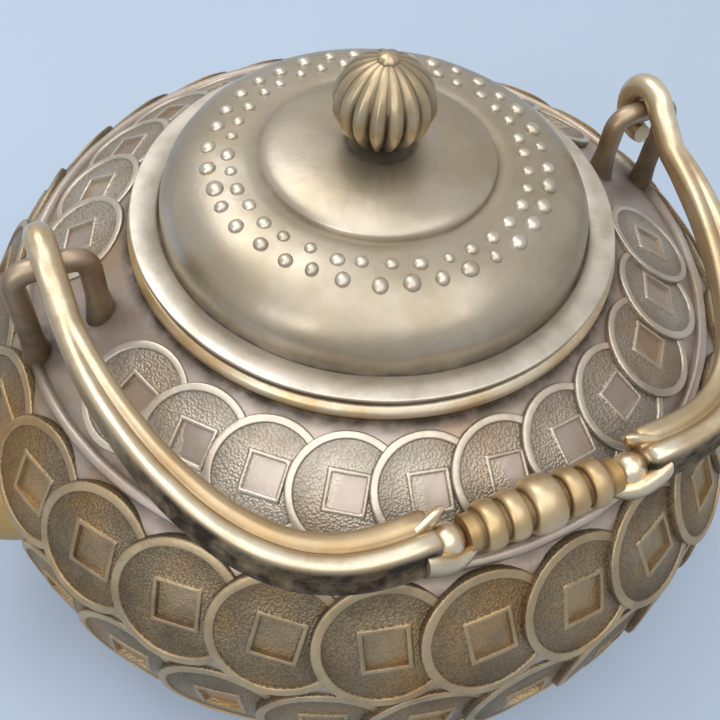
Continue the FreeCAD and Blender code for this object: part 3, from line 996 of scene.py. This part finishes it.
def cut_ribs(bm):
    """Makes a ribbed knob of a unit ball and notes what is rubbed and dirty on it."""
    wear_and_highlight = bm.verts.layers.float["wear_and_highlight"]
    grime_and_shade = bm.verts.layers.float["grime_and_shade"]
    for v in bm.verts:
        around = math.atan2(v.co.y, v.co.x) * ribs / (2 * math.pi)
        level = v.co.z
        flat = from_axis(v.co)
        low = max(0.0, -level)
        gap = abs(around - round(around))
        on_rib = gap / 0.5
        groove = hump(gap, rib_groove_width + 0.24 * low)
        depth = (rib_groove_depth + 0.11 * max(0.0, 0.5 - level)) * min(1.0, flat * 1.8)
        crest = rib_crest * on_rib ** 2 * flat
        narrow = 1 - knob_narrowing * low ** 1.5
        swell = knob_radius * narrow * (knob_body + crest - depth * groove)
        v[wear_and_highlight] = 0.6 * on_rib ** 1.5
        v[grime_and_shade] = min(1.0, groove * (0.5 + 0.6 * max(0.0, 0.6 - level)))
        v.co.x *= swell
        v.co.y *= swell
        v.co.z = knob_middle + level * (knob_half + knob_overlap)


bm = blank()
bmesh.ops.create_uvsphere(bm, u_segments=ribs * 12, v_segments=48, radius=1.0)
cut_ribs(bm)
cast_unevenly(bm, depth=0.1 * mm, size=4 * mm)
piece("melon_knob", bm, "lid", knob_brass, "knob", sharp=80)


def button_marks(co):
    """Rubbed all over, dirty round its foot."""
    return 0.5, 0.5 * hump(co.z - button_foot, button_dirt)


bm = blank()
on_knob = Matrix.Translation((0, 0, button_foot)) @ Matrix.Diagonal((1, 1, button_rise, 1))
bmesh.ops.create_uvsphere(bm, u_segments=40, v_segments=16, radius=button_radius, matrix=on_knob)
for v in bm.verts:
    petal = 1 - petal_cut * abs(math.sin(button_petals / 2 * math.atan2(v.co.y, v.co.x)))
    v.co.x *= petal
    v.co.y *= petal
note(bm, button_marks)
piece("knob_button_cap", bm, "lid", knob_brass, "knob_button", sharp=80)


# Bail: drawn flat, then dipped to rest

rest = Matrix.Translation((0, 0, hinge_height)) @ Matrix.Rotation(bail_dip, 4, "X")


def dip(bm):
    """Turns a piece of the bail down to where it rests."""
    bmesh.ops.transform(bm, matrix=rest, verts=bm.verts[:])


def arm_place(s):
    """Point on an arm's middle line, from the hook at 0 to the pearl at 1."""
    angle = s * math.pi / 2
    start_y = -2 * hook_radius
    return Vector((arm_end + (hinge_reach - arm_end) * math.cos(angle) ** arm_side_power,
                   start_y - (start_y + bail_reach) * math.sin(angle) ** arm_front_power, 0))


def strip(share):
    """0 where the arm is a round rod, 1 from where it is a full grooved strip."""
    return min(1.0, 2.2 * share)


def arm_section(angle, share):
    """Round rod near the hook that grows squarer, with a groove along its top and its outer side."""
    angle -= strip_lean * strip(share)
    power = 2 + 5 * min(1.0, 1.5 * share)
    round_off = (abs(math.cos(angle)) ** power + abs(math.sin(angle)) ** power) ** (-1 / power)
    top = 0.3 * hump(turn_gap(angle, math.pi / 2), 0.22)
    outside = 0.1 * hump(turn_gap(angle, -0.1), 0.14)
    return round_off * (1 - strip(share) * (top + outside))


def arm_marks(angle, share):
    """Rubbed lips either side of the groove, with a painted highlight on the outer lip and along the
    rod's top; dirt in the groove and painted shade down the sides.
    """
    deep = strip(share)
    angle -= strip_lean * deep
    # Rubbed lips, the outer one painted brighter as a highlight, and a painted highlight along the round
    # rod's top
    lip_wear_and_highlight = 1.0 * hump(turn_gap(angle, 1.02), 0.3) + 0.2 * hump(turn_gap(angle, 2.1), 0.3)
    rod_top_highlight = (1 - deep) * 0.85 * hump(turn_gap(angle, math.pi / 2), 1.0)
    groove = 0.45 * hump(turn_gap(angle, math.pi / 2), 0.15)
    inner_lip = 0.22 * hump(turn_gap(angle, 2.2), 0.4)
    # Painted shade down the outer side wall and the rod's lower side, where the bail's underside lies in
    # shade
    side_wall_shade = 1.0 * hump(max(0.0, abs(turn_gap(angle, -1.0)) - 1.5), 0.2)
    rod_side_shade = (1 - deep) * 0.45 * hump(turn_gap(angle, -1.0), 0.9)
    return max(lip_wear_and_highlight, rod_top_highlight), deep * max(groove, inner_lip, side_wall_shade) + rod_side_shade


def arm_stations():
    """Round the hook, along the arm, and three more that close its end."""
    stations = []
    hinge = Vector((hinge_reach, 0, 0))
    for k in range(hook_rings + 1):
        angle = hook_to + (hook_from - hook_to) * (1 - k / hook_rings)
        out = Vector((0, -math.cos(angle), math.sin(angle)))
        run = Vector((0, -math.sin(angle), -math.cos(angle)))
        rod = arm_rod * (0.75 + 0.25 * min(1, k / 8))
        stations.append((hinge + out * hook_radius, run, Vector((1, 0, 0)), rod, rod, 0))
    for k in range(1, arm_rings + 1):
        s = k / arm_rings
        run = arm_place(min(1, s + nudge)) - arm_place(max(0, s - nudge))
        outward = run.cross(Vector((0, 0, -1))).normalized()
        shift = (Vector((0, 0, arm_end_shift)) - outward * arm_end_shift) * s
        stations.append((arm_place(s) + shift, run, outward,
                         arm_rod + arm_widening * s, arm_rod + arm_heightening * s, s))
    place, run, outward, width, height, share = stations[-1]
    for reach, shrink in arm_tip:
        past = place + run.normalized() * reach
        stations.append((past, run, outward, width * shrink, height * shrink, 1))
    return stations


def jaw_stations(side, course):
    """One of the two lips at an arm's end, either side of the pearl."""
    stations = []
    for along, aside, width, height, lift in course:
        place = Vector((along * mm, -bail_reach + side * aside * mm, lift * mm))
        stations.append((place, Vector((-1, 0, 0)), Vector((0, side, 0)), width * mm, height * mm, 1))
    return stations


def bed_marks(angle, share):
    """Bright along the top, dirty down the outside."""
    return 0.7 * hump(turn_gap(angle, 1.15), 0.6), 0.9 * hump(turn_gap(angle, -0.5), 0.8)


def fin_marks(angle, share):
    """Bright along the top, which is the far side of this section's circle."""
    return 0.7 * hump(turn_gap(angle, -math.pi / 2), 0.9), 0.0


for side, name in ((-1, "bail_arm_spout"), (1, "bail_arm_back")):
    bm = blank()
    tube(bm, arm_stations(), sides=64, section=arm_section, marks=arm_marks)
    tube(bm, jaw_stations(-1, pearl_bed), sides=24, marks=bed_marks)
    tube(bm, jaw_stations(1, pearl_fin), sides=24, marks=fin_marks)
    if side < 0:
        bmesh.ops.scale(bm, vec=(-1, 1, 1), verts=bm.verts[:])
        face_outward(bm)
    dip(bm)
    cast_unevenly(bm, depth=0.14 * mm, size=8 * mm)
    piece(name + "_rod", bm, "bail", bail_brass, name, sharp=60)

bm = blank()
for side in (-1, 1):
    bmesh.ops.create_uvsphere(bm, u_segments=32, v_segments=20, radius=pearl_radius,
                              matrix=Matrix.Translation((side * pearl_place, -bail_reach, 0)))
note(bm, rubbed_all_over(0.7))
dip(bm)
piece("pearls", bm, "bail", bail_brass, "bail_pearls", sharp=80)


# Grip: a core and rings, turned on a middle line along X

def grip_string(bm, points):
    """Wire beside the grip's middle line through (along, radius) points."""
    string(bm, [(x, -bail_reach + r, 0) for x, r in points])


def turn_grip(bm, steps):
    """Turns wires once round the grip's middle line."""
    turn(bm, steps, (1, 0, 0), (0, -bail_reach, 0))


def core_marks(co):
    """Dirty between the rings."""
    return 0.0, 0.6 if abs(co.x) < grip_dirt_reach else 0.1


def ring_marks(co):
    """Rubbed on the crests, dirty at the feet."""
    reach = math.hypot(co.y + bail_reach, co.z)
    crest = min(1.0, max(0.0, (reach - ring_rubbed_from) / ring_rubbed_run))
    return crest * 0.7, 0.6 * hump(reach - ring_foot, ring_dirt)


bm = blank()
core = [(-grip_half + 2 * grip_half * k / 40, grip_radius) for k in range(41)]
grip_string(bm, [(-grip_half, 0)] + core + [(grip_half, 0)])
turn_grip(bm, steps=48)
note(bm, core_marks)
dip(bm)
piece("grip_core", bm, "bail", grip_brass, "bail_grip", sharp=60)

bm = blank()
for middle, width, radius in ring_sizes:
    points = [((middle - width / 2) * mm, grip_radius - ring_sink)]
    for k in range(17):
        angle = math.pi * k / 16
        points.append((middle * mm - math.cos(angle) * width / 2 * mm,
                       ring_foot + math.sin(angle) ** ring_power * (radius * mm - ring_foot)))
    points += [((middle + width / 2) * mm, grip_radius - ring_sink), points[0]]
    grip_string(bm, points)
turn_grip(bm, steps=56)
note(bm, ring_marks)
dip(bm)
cast_unevenly(bm, depth=0.16 * mm, size=4 * mm)
piece("grip_rings", bm, "bail", grip_brass, "bail_grip_rings", sharp=70)


# Floor, light and camera

floor_size = 20.0
floor_tone = (0.42, 0.51, 0.64, 1)
floor_rough = 0.9
room_tone = (1.0, 0.985, 0.96, 1)
room_light = 0.6
lamp_aim = Vector((0, 0, 0.08))

bm = bmesh.new()
bmesh.ops.create_grid(bm, x_segments=1, y_segments=1, size=floor_size)
floor = put("floor", mesh_of("floor", bm))
floor_finish = bpy.data.materials.new("pale_floor")
floor_finish.use_nodes = True
floor_shader = floor_finish.node_tree.nodes["Principled BSDF"]
floor_shader.inputs["Base Color"].default_value = floor_tone
floor_shader.inputs["Roughness"].default_value = floor_rough
floor.data.materials.append(floor_finish)

world = bpy.data.worlds.new("soft_room")
world.use_nodes = True
room = world.node_tree.nodes["Background"]
room.inputs["Color"].default_value = room_tone
room.inputs["Strength"].default_value = room_light
bpy.context.scene.world = world


def softbox(name, place, size, power):
    """Round soft lamp that shines on the lid."""
    lamp = bpy.data.lights.new(name, "AREA")
    lamp.shape = "DISK"
    lamp.size = size
    lamp.energy = power
    thing = put(name, lamp)
    thing.location = place
    thing.rotation_euler = (lamp_aim - Vector(place)).to_track_quat("-Z", "Y").to_euler()


softbox("back_top_box", place=(-0.15, 0.5, 0.9), size=0.6, power=2.8)
softbox("overhead_box", place=(-0.1, -0.3, 1.0), size=1.4, power=7.0)
softbox("left_box", place=(-0.7, -0.45, 0.5), size=0.4, power=1.5)

# The camera stands where the photograph was taken from, tilted a little to one side
view_turn = math.radians(-28.3)
view_height = math.radians(53.25)
view_roll = math.radians(-5.57)
view_distance = 171.72 * mm
aim_right = -0.12 * mm
aim_up = 30.48 * mm
frame_pixels = 720
focal_pixels = 900
sensor_width = 36
nearest_seen = 5 * mm

back = Vector((0, -math.cos(view_height), math.sin(view_height)))
right = Vector((1, 0, 0))
up = back.cross(right)
tilt_right = right * math.cos(view_roll) - up * math.sin(view_roll)
tilt_up = right * math.sin(view_roll) + up * math.cos(view_roll)
swing = Matrix.Rotation(view_turn, 3, "Z")
axes = [swing @ a for a in (tilt_right, tilt_up, back)]
stand = swing @ (back * view_distance - right * aim_right - up * aim_up) + Vector((0, 0, flange_top))
lens = bpy.data.cameras.new("photo_camera")
lens.sensor_width = sensor_width
lens.lens = sensor_width * focal_pixels / frame_pixels
lens.clip_start = nearest_seen
camera = put("photo_camera", lens)
camera.matrix_world = Matrix((
    (axes[0].x, axes[1].x, axes[2].x, stand.x),
    (axes[0].y, axes[1].y, axes[2].y, stand.y),
    (axes[0].z, axes[1].z, axes[2].z, stand.z),
    (0, 0, 0, 1)))
bpy.context.scene.camera = camera
bpy.context.scene.view_settings.view_transform = "Standard"
